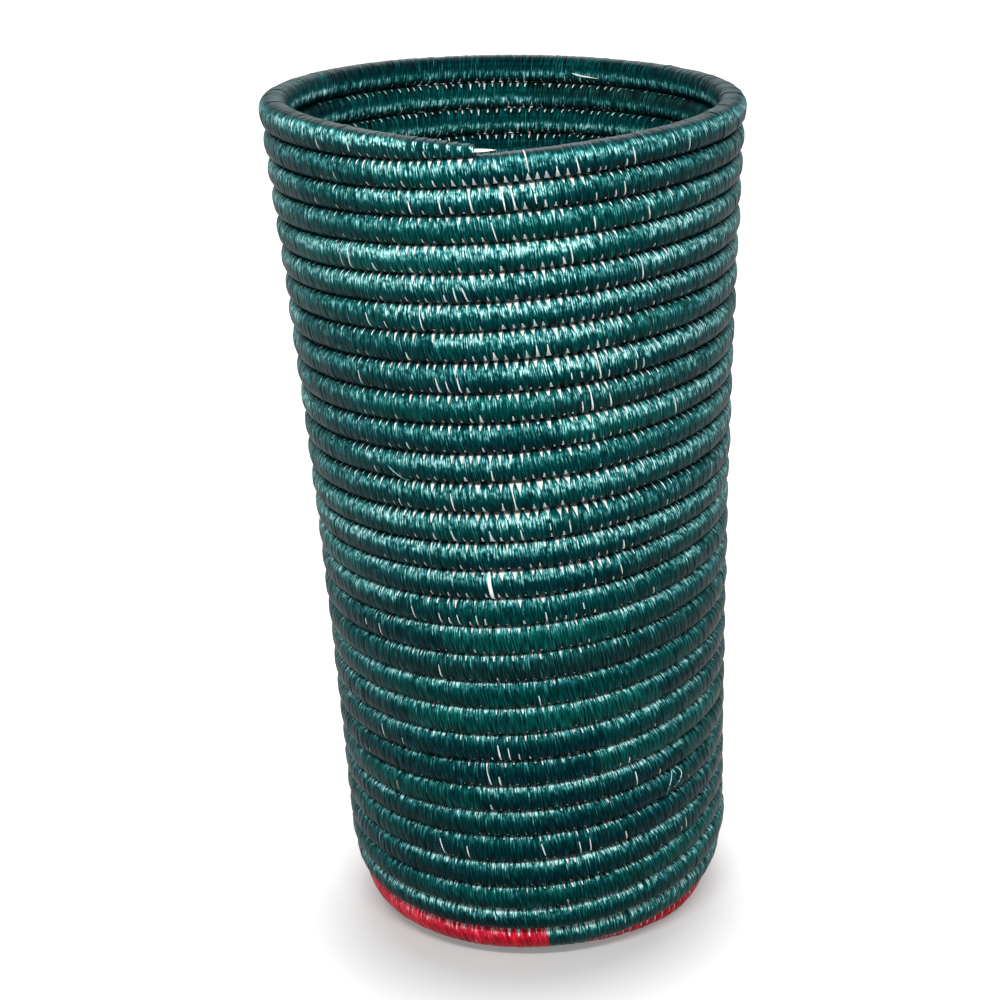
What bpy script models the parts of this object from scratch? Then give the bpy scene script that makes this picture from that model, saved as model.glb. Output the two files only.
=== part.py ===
"""A tall coiled basket: one foundation bundle wrapped in raffia and wound, turn upon turn,
into a flat base and a slightly flared wall that ends in a tapered, stitched-down tip.

Units are metres and +Z is up. The basket stands on z = 0, its axis is the Z axis and its
front, where the red raffia ends and the tip lies, faces -Y. A place along the coil is a
number of turns, counted up from the end of the red raffia. Each length of wrapped coil is a
solid of its own, and two neighbouring lengths are one small gap apart.
"""

import math

import bmesh
import bpy
import numpy as np
from mathutils import Matrix, Vector

# Overall sizes
RIM_RADIUS = 0.0821  # outside of the topmost row
FOOT_RADIUS = 0.0696  # outside of the wall, just above the rounded foot
FLARE = math.radians(3.5)  # how much further the wall leans out at the rim than at the foot
BEND_RADIUS = 0.048  # of the coil's middle, where the wall curves in towards the foot
EDGE_TILT = math.radians(55)  # of the row on which the rounded foot meets the flat base
EDGE_LENGTH = 0.003  # along the profile, in which the base turns up to that tilt
RIM_SLOPE = math.radians(1.3)  # of the rim, which is a little higher on the -X side

# The coil
ROW_PITCH = 0.00995  # from the middle of one row to the middle of the next
TURNS_ABOVE_RED = 29 - 9 / 360  # from the end of the red raffia up to the tip
RED_END_ANGLE = math.radians(2)  # from the front, counter-clockwise seen from above
ROWS_BELOW_WALL = 2.4  # from the top of the rounded foot down to the red raffia's end
RED_TURNS = 23 / 24  # of the red length: under a turn, so that it doesn't meet itself
RIM_TURNS = 23 / 24  # of the length before the tail
BASE_COUNT = 6  # of the lengths in the base, each just under a turn
WALL_COUNT = 29  # of the lengths between the red one and the rim
ROW_GAP = 0.0003  # between a row and the next, and between a small piece and its seat
JOINT_GAP = 0.0003  # between the ends of two lengths

# The start, in the middle of the base
START_HOLE = 0.0021  # radius of the hole that the first turn closes round
START_WIDTH = 0.002  # of the coil's thinned first end

# The tapered tip, on the rim
TAIL_TURNS = 0.25  # over which the coil thins
TIP_SHARE = 0.36  # of the coil's thickness that is left at the tip
STITCH_COUNT = 6
STITCH_START = 0.00255  # from the tip back to the first stitch's middle
STITCH_SPACING = 0.0034
STITCH_WIDTH = 0.0022
STITCH_THICKNESS = 0.0005
SPLINT_WIDTH = 0.0030  # of the foundation's end, which sticks out of the tip
SPLINT_THICKNESS = 0.0012
SPLINT_OUT = 0.0065
SPLINT_IN = 0.0050

# How finely round shapes are divided
POINTS_PER_TURN = 24
TAIL_POINTS_PER_TURN = 96  # finer, because small pieces are seated on the tail
SIDES = 8
KNOT_STEPS = 12
PROFILE_STEPS = 4000

GREEN_RAFFIA = (0.006, 0.095, 0.085, 1.0)
RED_RAFFIA = (0.56, 0.010, 0.025, 1.0)
PALE_FIBRE = (0.71, 0.66, 0.53, 1.0)

COIL_WIDTH = ROW_PITCH - ROW_GAP  # of a row that lies flat against its neighbours
FLAT_TO_CORNER = 1 / math.cos(math.pi / SIDES)  # of the section, from its middle
CORNERS = [(k + 0.5) * 2 * math.pi / SIDES for k in range(SIDES)]

# The profile is the line that the coil's middle follows in a plane through the axis. It is
# laid out by its length from the axis: flat, over the foot's edge, round its bend, then up the
# wall.
WALL_LENGTH = ROW_PITCH * (TURNS_ABOVE_RED - ROWS_BELOW_WALL)
MEAN_LEAN = math.asin((RIM_RADIUS - FOOT_RADIUS) / WALL_LENGTH)
FOOT_TILT = math.pi / 2 - (MEAN_LEAN - FLARE / 2)
RIM_TILT = math.pi / 2 - (MEAN_LEAN + FLARE / 2)
BEND_WIDTH = BEND_RADIUS * (math.sin(FOOT_TILT) - math.sin(EDGE_TILT))
EDGE_WIDTH = EDGE_LENGTH * math.sin(EDGE_TILT) / EDGE_TILT
FLAT_END = FOOT_RADIUS - COIL_WIDTH / 2 - BEND_WIDTH - EDGE_WIDTH
EDGE_END = FLAT_END + EDGE_LENGTH
BEND_END = EDGE_END + BEND_RADIUS * (FOOT_TILT - EDGE_TILT)
WALL_END = BEND_END + WALL_LENGTH
RED_END = BEND_END - ROWS_BELOW_WALL * ROW_PITCH

SPARE = 2 * ROW_PITCH  # the tables run on past both ends, where a row has no neighbour
WALK = np.linspace(-SPARE, WALL_END + SPARE, PROFILE_STEPS)
TILTS = np.interp(
    WALK, [FLAT_END, EDGE_END, BEND_END, WALL_END], [0, EDGE_TILT, FOOT_TILT, RIM_TILT]
)


def running_sum(rates):
    """The distance covered at each point of the walk, from the rate at each point."""
    steps = np.diff(WALK) * (rates[1:] + rates[:-1]) / 2
    return np.concatenate([[0.0], np.cumsum(steps)])


RADII = running_sum(np.cos(TILTS)) - SPARE
HEIGHTS = running_sum(np.sin(TILTS)) + COIL_WIDTH / 2
RIM_HEIGHT = float(np.interp(WALL_END, WALK, HEIGHTS))


def profile(along):
    """Radius, height and tilt of the profile at a distance along it."""
    return tuple(float(np.interp(along, WALK, table)) for table in (RADII, HEIGHTS, TILTS))


def along_at(turn):
    """How far along the profile the coil's middle is at a turn: one pitch for each turn."""
    return RED_END + ROW_PITCH * turn


def angle_at(turn):
    return RED_END_ANGLE + 2 * math.pi * turn


def turns_in(length, turn):
    """The share of a turn that a length of coil covers near this turn."""
    radius = profile(along_at(turn))[0]
    return length / (2 * math.pi * max(radius, START_HOLE))


def coil_width(along):
    """As wide as the rows on both sides leave room for, one gap apart. Round the foot a row's
    flat sides don't face its neighbours squarely, so the row is a little thinner."""
    radius, height, tilt = profile(along)
    room = []
    for side in (-1, 1):
        near_radius, near_height, _ = profile(along + side * ROW_PITCH)
        across, up = side * (near_radius - radius), side * (near_height - height)
        askew = abs(math.atan2(up, across) - tilt) % (2 * math.pi / SIDES)
        squareness = math.cos(math.pi / SIDES) / math.cos(math.pi / SIDES - askew)
        room.append((math.hypot(across, up) - ROW_GAP) * squareness)
    return min(room)


TIP = TURNS_ABOVE_RED
TAIL_START = TIP - TAIL_TURNS
START = (START_HOLE + START_WIDTH - COIL_WIDTH / 2 - RED_END) / ROW_PITCH


def section_sizes(turn):
    """(where its middle lies along the profile, half its size along the profile, half its size
    across, how far its middle is shifted outwards) of the coil's section at a turn. A thinner
    row of the base or the foot lies flush with the others on the outside."""
    along = along_at(turn)
    full = coil_width(along)
    low, high = max(along - full / 2, START_HOLE), along + full / 2
    if turn > TAIL_START:
        done = (turn - TAIL_START) / TAIL_TURNS
        high -= full * (1 - TIP_SHARE) * done**2
    across = full * math.sqrt((high - low) / full)
    outwards = 0.0 if turn > TAIL_START else (COIL_WIDTH - across) / 2
    return (low + high) / 2, (high - low) / 2, across / 2, outwards


def with_slope(x, y, z):
    """Moves a point of a level shape to where the sloping rim puts it. The slope grows with
    the height, and the base is flat."""
    share = max(z - COIL_WIDTH, 0) / (RIM_HEIGHT - COIL_WIDTH)
    return Vector((x, y, z - share * math.tan(RIM_SLOPE) * x))


def section_point(turn, angle, reach=FLAT_TO_CORNER, grow=0.0):
    """A point round the section. Angle 0 looks along the profile, to the next row, and a
    quarter turn looks out of the basket. Grow moves the point clear of the section. Where the
    foot starts to turn up, the coil is pressed flat on the surface that it stands on."""
    middle, half_along, half_across, outwards = section_sizes(turn)
    radius, height, tilt = profile(middle)
    p = reach * math.cos(angle) * (half_along + grow)
    q = reach * math.sin(angle) * (half_across + grow) + outwards
    radius += p * math.cos(tilt) + q * math.sin(tilt)
    height += p * math.sin(tilt) - q * math.cos(tilt)
    around = angle_at(turn)
    return with_slope(radius * math.sin(around), -radius * math.cos(around), max(height, 0))


def raffia(name, colour, roughness):
    material = bpy.data.materials.new(name)
    material.use_nodes = True
    shader = material.node_tree.nodes["Principled BSDF"]
    shader.inputs["Base Color"].default_value = colour
    shader.inputs["Roughness"].default_value = roughness
    shader.inputs["Metallic"].default_value = 0.0
    material.diffuse_color = colour
    return material


def add_object(name, mesh_data, material, sharp_above=math.radians(50)):
    """Closes a bmesh into a named object with outward faces and smooth round sides."""
    bmesh.ops.recalc_face_normals(mesh_data, faces=mesh_data.faces)
    mesh = bpy.data.meshes.new(name)
    mesh_data.to_mesh(mesh)
    mesh_data.free()
    mesh.materials.append(material)
    mesh.shade_smooth()
    mesh.set_sharp_from_angle(angle=sharp_above)
    made = bpy.data.objects.new(name, mesh)
    bpy.context.scene.collection.objects.link(made)
    return made


def skin(mesh_data, rings):
    """Quads between neighbouring rings of points, each ring closed on itself."""
    made = [[mesh_data.verts.new(point) for point in ring] for ring in rings]
    for one, other in zip(made, made[1:]):
        for k in range(len(one)):
            n = (k + 1) % len(one)
            mesh_data.faces.new((one[k], one[n], other[n], other[k]))
    return made


def sections_between(first, last, points_per_turn):
    """Where a length of coil has its sections: at its ends and at even steps between them.
    All rows share these steps, so that neighbouring rows have their flats side by side."""
    step = 1 / points_per_turn
    least = step / 4
    inner = np.arange(math.ceil(first / step), math.floor(last / step) + 1) * step
    return [first, *(t for t in inner if first + least < t < last - least), last]


def coil_length(name, first, last, material, points_per_turn=POINTS_PER_TURN):
    """One length of wrapped coil, from one turn to another, half a joint short at each end."""
    first += turns_in(JOINT_GAP / 2, first)
    last -= turns_in(JOINT_GAP / 2, last)
    turns = sections_between(first, last, points_per_turn)
    mesh_data = bmesh.new()
    rings = skin(mesh_data, [[section_point(t, a) for a in CORNERS] for t in turns])
    mesh_data.faces.new(rings[0])
    mesh_data.faces.new(rings[-1])
    return add_object(name, mesh_data, material)


def start_knot(material):
    """The knot that fills the hole in the middle of the base: a short rounded plug."""
    radius, height = START_HOLE - ROW_GAP, COIL_WIDTH
    rounding = radius / 3
    outline = [
        (0, 0),
        (radius - rounding, 0),
        (radius, rounding),
        (radius, height - rounding),
        (radius - rounding, height),
        (0, height),
    ]
    mesh_data = bmesh.new()
    points = [mesh_data.verts.new((r, 0, z)) for r, z in outline]
    edges = [mesh_data.edges.new(pair) for pair in zip(points, points[1:])]
    bmesh.ops.spin(
        mesh_data, geom=points + edges, axis=(0, 0, 1), angle=2 * math.pi, steps=KNOT_STEPS
    )
    bmesh.ops.remove_doubles(mesh_data, verts=mesh_data.verts, dist=1e-6)
    return add_object("start_knot", mesh_data, material)


def tail_stitch(name, turn, material):
    """A strand pulled over the thinned tail, from the groove outside to the groove inside."""
    half_facet = math.pi / SIDES
    ends = math.pi - 2 * half_facet
    corners = np.arange(ends - half_facet, -ends, -2 * half_facet)
    around = [(ends, 1.0), *((a, FLAT_TO_CORNER) for a in corners), (-ends, 1.0)]
    half = turns_in(STITCH_WIDTH / 2, turn)
    mesh_data = bmesh.new()
    rings = skin(
        mesh_data,
        [
            [section_point(t, a, reach, ROW_GAP) for a, reach in around]
            + [
                section_point(t, a, reach, ROW_GAP + STITCH_THICKNESS)
                for a, reach in reversed(around)
            ]
            for t in (turn - half, turn + half)
        ],
    )
    for ring in rings:
        for k in range(len(around) - 1):
            mesh_data.faces.new((ring[k], ring[k + 1], ring[-k - 2], ring[-k - 1]))
    return add_object(name, mesh_data, material)


def box_along_tip(name, back, front, width, thickness, material):
    """A box on the tip's end face: back and front along the coil, width across it."""
    middle = sum((section_point(TIP, a) for a in (0, math.pi)), Vector()) / 2
    around = angle_at(TIP)
    forward = Vector((math.cos(around), math.sin(around), 0))
    outward = Vector((math.sin(around), -math.cos(around), 0))
    mesh_data = bmesh.new()
    bmesh.ops.create_cube(mesh_data, size=1)
    sizes = Matrix.Diagonal((front + back, width, thickness, 1))
    shift = Matrix.Translation(((front - back) / 2, 0, 0))
    frame = Matrix((forward, outward, Vector((0, 0, 1)))).transposed().to_4x4()
    frame.translation = middle
    bmesh.ops.transform(mesh_data, matrix=frame @ shift @ sizes, verts=mesh_data.verts)
    return add_object(name, mesh_data, material, sharp_above=math.radians(20))


def tip_and_splint(wrap, fibre):
    """The thinned last length, and the foundation's flat end seated in a slot in its tip."""
    tail = coil_length("rim_tail", TAIL_START, TIP, wrap, TAIL_POINTS_PER_TURN)
    box_along_tip("foundation_end", SPLINT_IN, SPLINT_OUT, SPLINT_WIDTH, SPLINT_THICKNESS, fibre)
    slot = box_along_tip(
        "splint_slot",
        SPLINT_IN + ROW_GAP,
        SPLINT_OUT,
        SPLINT_WIDTH + 2 * ROW_GAP,
        SPLINT_THICKNESS + 2 * ROW_GAP,
        fibre,
    )
    slot.hide_render = True
    slot.display_type = "WIRE"
    cut = tail.modifiers.new("slot", "BOOLEAN")
    cut.operation = "DIFFERENCE"
    cut.object = slot


def build():
    for old in list(bpy.data.objects):
        bpy.data.objects.remove(old)
    green = raffia("green_raffia", GREEN_RAFFIA, 0.45)
    red = raffia("red_raffia", RED_RAFFIA, 0.5)
    pale = raffia("pale_fibre", PALE_FIBRE, 0.8)

    start_knot(green)
    red_start = -RED_TURNS
    base_ends = np.linspace(START, red_start, BASE_COUNT + 1)
    for number, (first, last) in enumerate(zip(base_ends, base_ends[1:]), 1):
        coil_length(f"base_coil_{number}", first, last, green)
    coil_length("foot_coil_red", red_start, 0, red)
    rim_start = TAIL_START - RIM_TURNS
    wall_ends = np.linspace(0, rim_start, WALL_COUNT + 1)
    for number, (first, last) in enumerate(zip(wall_ends, wall_ends[1:]), 1):
        coil_length(f"wall_coil_{number:02}", first, last, green)
    coil_length("rim_coil", rim_start, TAIL_START, green)
    tip_and_splint(green, pale)
    for number in range(STITCH_COUNT):
        back = STITCH_START + STITCH_SPACING * number
        tail_stitch(f"tail_stitch_{number + 1}", TIP - turns_in(back, TIP), green)

    top = max(section_point(TAIL_START, a).z for a in CORNERS)
    print(f"coil of {TIP - START:.1f} turns, {1000 * top:.1f} mm high before the tail thins")


build()
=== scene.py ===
# %% [markdown]
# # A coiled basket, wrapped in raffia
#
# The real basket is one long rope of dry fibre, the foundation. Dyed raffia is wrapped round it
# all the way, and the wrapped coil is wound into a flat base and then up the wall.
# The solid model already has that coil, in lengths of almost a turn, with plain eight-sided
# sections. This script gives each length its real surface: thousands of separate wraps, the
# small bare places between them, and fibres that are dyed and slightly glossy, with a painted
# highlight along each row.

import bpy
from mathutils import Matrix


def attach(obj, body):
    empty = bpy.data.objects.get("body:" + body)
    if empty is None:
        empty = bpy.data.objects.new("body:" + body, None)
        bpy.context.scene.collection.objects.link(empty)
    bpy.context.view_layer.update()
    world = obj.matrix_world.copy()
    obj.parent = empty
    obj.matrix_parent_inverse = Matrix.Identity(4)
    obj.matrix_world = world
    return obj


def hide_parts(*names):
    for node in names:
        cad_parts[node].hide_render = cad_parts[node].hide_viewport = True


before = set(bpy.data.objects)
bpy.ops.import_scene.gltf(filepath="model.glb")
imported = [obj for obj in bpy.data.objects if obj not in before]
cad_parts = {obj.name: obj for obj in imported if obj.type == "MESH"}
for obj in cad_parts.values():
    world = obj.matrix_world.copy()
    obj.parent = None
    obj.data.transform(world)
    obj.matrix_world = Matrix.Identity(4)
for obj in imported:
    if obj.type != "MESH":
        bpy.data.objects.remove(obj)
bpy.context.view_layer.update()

# %% [markdown]
# ## Where the camera stands
#
# The photograph looks down on the basket from the front, with a long lens, and it is tilted a
# little to one side. A camera can be turned with angles, but angles from a look direction are
# easier to read: `to_track_quat` points the camera, and a last turn about its own axis tilts it.

# %% The camera
import math

import bpy
from mathutils import Quaternion, Vector

CAMERA_PLACE = Vector((0, -0.784, 0.43185))
LENS = 83.89
SENSOR_WIDTH = 36
NEAREST_SEEN = 0.01
LOOK_DOWN = math.radians(19.688)
LOOK_LEFT = math.radians(0.584)
CAMERA_TILT = math.radians(-3.009)

camera_data = bpy.data.cameras.new("camera")
camera_data.lens = LENS
camera_data.sensor_width = SENSOR_WIDTH
camera_data.clip_start = NEAREST_SEEN
camera = bpy.data.objects.new("camera", camera_data)
bpy.context.scene.collection.objects.link(camera)
camera.location = CAMERA_PLACE
look = Vector(
    (
        -math.sin(LOOK_LEFT) * math.cos(LOOK_DOWN),
        math.cos(LOOK_LEFT) * math.cos(LOOK_DOWN),
        -math.sin(LOOK_DOWN),
    )
)
camera.rotation_mode = "QUATERNION"
camera.rotation_quaternion = look.to_track_quat("-Z", "Y") @ Quaternion((0, 0, 1), CAMERA_TILT)
bpy.context.scene.camera = camera
print(f"the camera is {CAMERA_PLACE.length:.2f} m from the middle of the foot")

# %% [markdown]
# ## Floor, background and light
#
# The basket stands on a plain white ground that runs into a white background, with only a soft
# shadow at its foot. If lamps made that white, the basket would be too bright. So the floor
# and the world add white only for rays that come straight from the camera or by way of a
# mirror-like or clear surface. The floor is a matt grey with a glow on top: the matt part takes
# the shadow that the basket casts, and away from the basket the glow alone is white. The glow is
# weak in a disc round the foot, so the floor there has a painted shadow as well as the real one.
# The disc lies a little towards the front, where the painted shadow is deepest.


# %% Helpers for node materials
def add_node(tree, kind, **settings):
    """A node of a kind, with its properties and its input values set by name."""
    node = tree.nodes.new("ShaderNode" + kind)
    for name, value in settings.items():
        if hasattr(node, name):
            setattr(node, name, value)
        else:
            node.inputs[name.replace("_", " ")].default_value = value
    return node


def math_node(tree, operation, *inputs, clamp=False):
    """A Math node's output. Its inputs are numbers or other nodes' outputs."""
    node = tree.nodes.new("ShaderNodeMath")
    node.operation = operation
    node.use_clamp = clamp
    for socket, value in zip(node.inputs, inputs):
        if isinstance(value, bpy.types.NodeSocket):
            tree.links.new(value, socket)
        else:
            socket.default_value = value
    return node.outputs[0]


def remap(tree, value, from_min, from_max, to_min, to_max):
    """A node output from one range, put into another."""
    node = add_node(
        tree, "MapRange", From_Min=from_min, From_Max=from_max, To_Min=to_min, To_Max=to_max
    )
    tree.links.new(value, node.inputs["Value"])
    return node.outputs[0]


def seen_directly(tree):
    """1 for a camera ray and for a glossy or see-through one, and 0 for the rays of soft light."""
    path = tree.nodes.new("ShaderNodeLightPath")
    both = math_node(
        tree, "ADD", path.outputs["Is Camera Ray"], path.outputs["Is Glossy Ray"], clamp=True
    )
    return math_node(tree, "ADD", both, path.outputs["Is Transmission Ray"], clamp=True)


# %% The floor's material
MM = 1000  # millimetres in a metre
FLOOR_GREY = 0.45
# The glow is weaker near the basket. This is a painted shadow round the foot, on top of the real
# shadow in the matt part, and its middle lies a little left of and ahead of the basket's middle.
GLOW_NEAR = 0.22
GLOW_WEAK_TO = 0.052
GLOW_FULL_FROM = 0.120
PAINTED_SHADOW_LEFT = 0.004
PAINTED_SHADOW_AHEAD = 0.02

floor_material = bpy.data.materials.new("white_ground")
floor_material.use_nodes = True
tree = floor_material.node_tree
tree.nodes.clear()
matt = add_node(tree, "BsdfDiffuse", Color=(FLOOR_GREY, FLOOR_GREY, FLOOR_GREY, 1))
glow = add_node(tree, "Emission", Color=(1, 1, 1, 1))
spot = add_node(tree, "TexCoord")
away = add_node(tree, "VectorMath", operation="ADD")
away.inputs[1].default_value = (PAINTED_SHADOW_LEFT, PAINTED_SHADOW_AHEAD, 0)
tree.links.new(spot.outputs["Object"], away.inputs[0])
distance = add_node(tree, "VectorMath", operation="LENGTH")
tree.links.new(away.outputs[0], distance.inputs[0])
outwards = remap(tree, distance.outputs["Value"], GLOW_WEAK_TO, GLOW_FULL_FROM, GLOW_NEAR, 1.0)
tree.links.new(
    math_node(tree, "MULTIPLY", seen_directly(tree), outwards), glow.inputs["Strength"]
)
both = tree.nodes.new("ShaderNodeAddShader")
tree.links.new(matt.outputs[0], both.inputs[0])
tree.links.new(glow.outputs[0], both.inputs[1])
output = tree.nodes.new("ShaderNodeOutputMaterial")
tree.links.new(both.outputs[0], output.inputs["Surface"])
print(f"the floor's glow grows from {GLOW_NEAR} to 1 over "
      f"{MM * (GLOW_FULL_FROM - GLOW_WEAK_TO):.0f} mm")

# %% The floor
FLOOR_SIZE = 8.0

half = FLOOR_SIZE / 2
floor_mesh = bpy.data.meshes.new("floor")
floor_mesh.from_pydata(
    [(-half, -half, 0), (half, -half, 0), (half, half, 0), (-half, half, 0)], [], [(0, 1, 2, 3)]
)
floor_mesh.materials.append(floor_material)
floor = bpy.data.objects.new("floor", floor_mesh)
bpy.context.scene.collection.objects.link(floor)
print("the floor is", FLOOR_SIZE, "m wide")

# %% The world
AMBIENT = 0.4

world = bpy.data.worlds.new("studio")
bpy.context.scene.world = world
world.use_nodes = True
tree = world.node_tree
tree.nodes.clear()
background = add_node(tree, "Background", Color=(1, 1, 1, 1))
strength = math_node(
    tree, "ADD", math_node(tree, "MULTIPLY", seen_directly(tree), 1 - AMBIENT), AMBIENT
)
tree.links.new(strength, background.inputs["Strength"])
output = tree.nodes.new("ShaderNodeOutputWorld")
tree.links.new(background.outputs[0], output.inputs["Surface"])
bpy.context.scene.view_settings.view_transform = "Standard"
print("the world lights the basket with", AMBIENT, "of the white that the camera sees")

# %% The lamps
LAMPS_LOOK_AT = Vector((0, 0, 0.17))


def soft_lamp(name, place, width, height, watts):
    """A flat lamp that looks at the middle of the basket."""
    lamp_data = bpy.data.lights.new(name, "AREA")
    lamp_data.shape = "RECTANGLE"
    lamp_data.size = width
    lamp_data.size_y = height
    lamp_data.energy = watts
    lamp = bpy.data.objects.new(name, lamp_data)
    bpy.context.scene.collection.objects.link(lamp)
    lamp.location = place
    lamp.rotation_mode = "QUATERNION"
    way = LAMPS_LOOK_AT - Vector(place)
    lamp.rotation_quaternion = way.to_track_quat("-Z", "Y")
    print(f"the {name} lamp is {way.length:.2f} m away and gives {watts} W")


soft_lamp("key", (-0.04, -0.64, 0.79), width=0.55, height=0.09, watts=7.4)
soft_lamp("top", (0.05, 0.16, 1.25), width=0.45, height=0.35, watts=4.6)
soft_lamp("back", (0.05, 0.75, 0.75), width=0.6, height=0.4, watts=2.4)

# %% [markdown]
# ## The line of the coil
#
# The coil's middle climbs one row for each turn along a profile: flat across the base, over
# the foot's edge, round its bend, then up a wall that leans out a little more at the rim. The
# profile is written as a tilt that changes with the distance along it, and numpy adds up the
# steps. Every surface point below is then placed by three numbers: its turn, its distance along
# the profile from the coil's middle, and its distance out of the basket. Turns are counted from
# the end of the red row, a little right of the front, so that row and the base have negative
# ones.

# %% The profile, with the solid model's sizes
import numpy as np

RIM_RADIUS = 0.0821
FOOT_RADIUS = 0.0696
FLARE = math.radians(3.5)
BEND_RADIUS = 0.048
EDGE_TILT = math.radians(55)
EDGE_LENGTH = 0.003
RIM_SLOPE = math.radians(1.3)
ROW_PITCH = 0.00995
COIL_WIDTH = 0.00965
TIP = 29 - 9 / 360
RED_END_ANGLE = math.radians(2)
ROWS_BELOW_WALL = 2.4

wall_length = ROW_PITCH * (TIP - ROWS_BELOW_WALL)
mean_lean = math.asin((RIM_RADIUS - FOOT_RADIUS) / wall_length)
foot_tilt = math.pi / 2 - (mean_lean - FLARE / 2)
rim_tilt = math.pi / 2 - (mean_lean + FLARE / 2)
bend_width = BEND_RADIUS * (math.sin(foot_tilt) - math.sin(EDGE_TILT))
edge_width = EDGE_LENGTH * math.sin(EDGE_TILT) / EDGE_TILT
flat_end = FOOT_RADIUS - COIL_WIDTH / 2 - bend_width - edge_width
edge_end = flat_end + EDGE_LENGTH
bend_end = edge_end + BEND_RADIUS * (foot_tilt - EDGE_TILT)
wall_end = bend_end + wall_length
RED_END = bend_end - ROWS_BELOW_WALL * ROW_PITCH
print(f"the coil's middle runs {MM * wall_end:.0f} mm along the profile")

# %% A walk along the profile
WALK_STEPS = 4000

walk = np.linspace(-2 * ROW_PITCH, wall_end + 2 * ROW_PITCH, WALK_STEPS)
tilts = np.interp(
    walk, [flat_end, edge_end, bend_end, wall_end], [0, EDGE_TILT, foot_tilt, rim_tilt]
)


def running_sum(rates):
    """The distance covered at each point of the walk, from the rate at each point."""
    steps = np.diff(walk) * (rates[1:] + rates[:-1]) / 2
    return np.concatenate([[0.0], np.cumsum(steps)])


radii = running_sum(np.cos(tilts)) - 2 * ROW_PITCH
heights = running_sum(np.sin(tilts)) + COIL_WIDTH / 2
rim_height = np.interp(wall_end, walk, heights)
print(f"the rim coil's middle is {MM * rim_height:.0f} mm up")

# %% [markdown]
# ## Uneven rows
#
# A hand-made coil is never quite even. Rows are thicker where the foundation was topped up and
# thinner where it was pulled tight. On this basket the lower rows are a little thin, so the
# middle of the wall lies low, and thicker rows above it make up for that. The rows were pulled
# up more on one side than on the other, and most of all at the sides of the lower half, and
# the last stitches pulled the end of the coil down a little. Three faster waves, with periods
# that never fall in step, add the small differences from row to row. Each row fills the space
# up to its neighbours, so that no gap opens anywhere.

# %% Thin rows, thick rows and small waves
LOW_ROWS = 17.6
LOW_BY = 0.0021
HIGH_BY = 0.0019
WAVE_BY = 0.001
WAVES = ((0.26, 0.231, 1.0), (0.22, 0.389, 4.0), (0.12, 0.823, 2.0))


def ramp(value, start, over):
    """0 up to a start and evenly up to 1 over a distance. With a negative distance it falls."""
    return np.clip((value - start) / over, 0, 1)


def thin_and_thick(turn):
    """Thin rows let the middle of the wall down, and thick rows above them lift it again."""
    low = np.sin(np.pi * ramp(turn, 0, LOW_ROWS))
    high = np.sin(np.pi * ramp(turn, LOW_ROWS, TIP - 1 - LOW_ROWS))
    return HIGH_BY * high - LOW_BY * low


def small_waves(turn):
    """Waves of (share, waves per turn, start), which fade out at the foot and the rim."""
    wave = sum(share * np.sin(2 * np.pi * turn * rate + start) for share, rate, start in WAVES)
    wall = ramp(turn, 0, 1) * ramp(turn, TIP - 0.5, -1)
    return WAVE_BY * wall * wave


print(f"the thin rows let row 9 down by {-MM * thin_and_thick(9):.1f} mm")

# %% Rows that were pulled up or down
TILT_BY = 0.0021
LEVEL_BEHIND = (25, 3)
BOW_BY = 0.0034
BOW_ENDS = (23, -10)
FROM_FOOT = (0, 1.2)
FOOT_LIFT = 0.0035
FOOT_LIFT_STARTS = (-1.2, 0.4)
FOOT_LIFT_ROWS = 3.5
END_DIP = 0.0015
DIP_BEFORE_TIP = 0.05
DIP_NARROWNESS = 8
LAST_ROWS = (26, 1.5)


def around_basket(turn):
    """The angle round the basket, with 0 in front and a quarter turn at the right."""
    return RED_END_ANGLE + 2 * np.pi * turn


def pulled(turn):
    """How much higher a row lies, from its tilt, its bow and the pull at the coil's end."""
    sideways, behind = np.sin(around_basket(turn)), 0.5 - 0.5 * np.cos(around_basket(turn))
    tilt = TILT_BY * sideways * (1 - behind * ramp(turn, *LEVEL_BEHIND))
    bow = BOW_BY * sideways**2 * ramp(turn, *BOW_ENDS)
    fading = np.exp(-((np.maximum(turn, 0) / FOOT_LIFT_ROWS) ** 2))
    lift = FOOT_LIFT * sideways**2 * (ramp(turn, *FOOT_LIFT_STARTS) * fading)
    from_dip = 2 * np.pi * (turn - TIP + DIP_BEFORE_TIP)
    near_end = np.clip(np.cos(from_dip), 0, 1) ** DIP_NARROWNESS
    dip = END_DIP * near_end * ramp(turn, *LAST_ROWS)
    return (tilt + bow) * ramp(turn, *FROM_FOOT) + lift - dip


print(f"at the right, three rows up, the coil was pulled up by {MM * pulled(3.25):.1f} mm")

# %% Where each row lies, and how thick it is
START_HOLE = 0.0021
START_WIDTH = 0.002
START = (START_HOLE + START_WIDTH - COIL_WIDTH / 2 - RED_END) / ROW_PITCH
FOOT_TUCK = 0.0028
TUCK_MOST_AT = -1.05
TUCK_ENDS = (-0.85, -0.2)
TAIL_TURNS = 0.25
TAIL_START = TIP - TAIL_TURNS
TIP_SHARE = 0.30
THINS_LATE = 4


def row_line(turn):
    """How far along the profile the coil's middle is at a turn, with its unevenness."""
    under = ramp(turn, *TUCK_ENDS) * ramp(turn, START, TUCK_MOST_AT - START)
    uneven = thin_and_thick(turn) + pulled(turn) - FOOT_TUCK * under + small_waves(turn)
    return RED_END + ROW_PITCH * turn + uneven


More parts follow.
